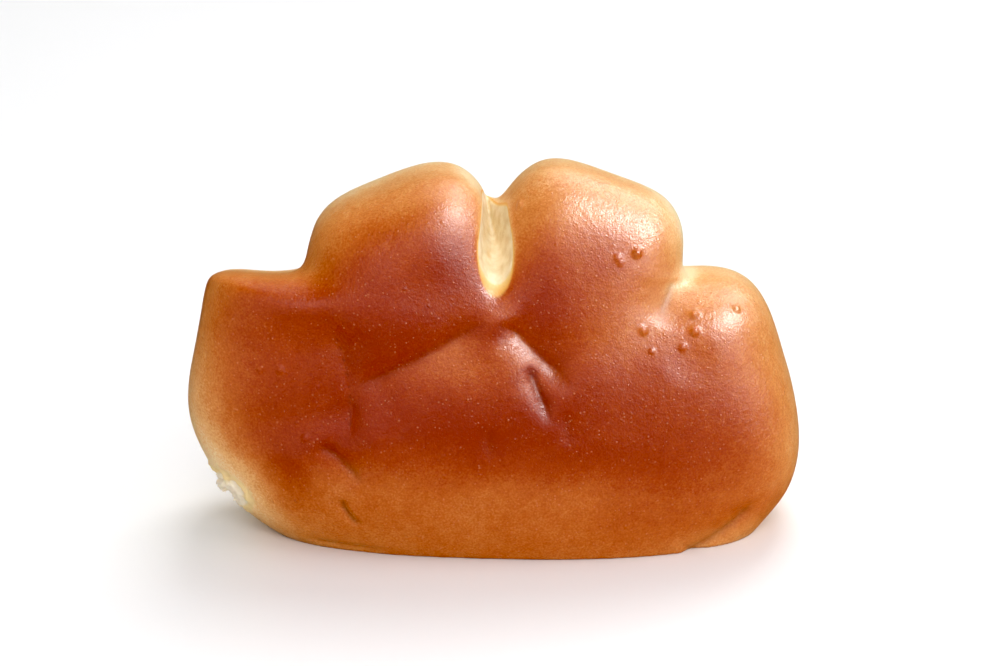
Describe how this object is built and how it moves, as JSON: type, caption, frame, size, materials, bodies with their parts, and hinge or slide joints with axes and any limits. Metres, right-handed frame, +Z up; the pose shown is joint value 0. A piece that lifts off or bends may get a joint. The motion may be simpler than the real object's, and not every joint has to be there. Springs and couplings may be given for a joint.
{
  "type": "cream bun",
  "caption": "Half-moon cream bun with stubby fingers, a pinched glossy brown face, a slit between the middle fingers and a flat baked bottom, standing on its folded edge to be eaten by hand.",
  "frame": {"origin": "middle of the base that the bun stands on, centred on its overall width and depth", "axes": "+X along the folded edge to the right as seen from the browned face, +Y from the browned face through to the baked bottom, +Z up through the fingers"},
  "size_m": [0.1226, 0.039, 0.0754],
  "materials": {
    "crust": "egg-washed crust, satin gloss, golden to red brown and pale at the edges"
  },
  "bodies": {
    "root": {"bun": "crust"}
  },
  "joints": []
}
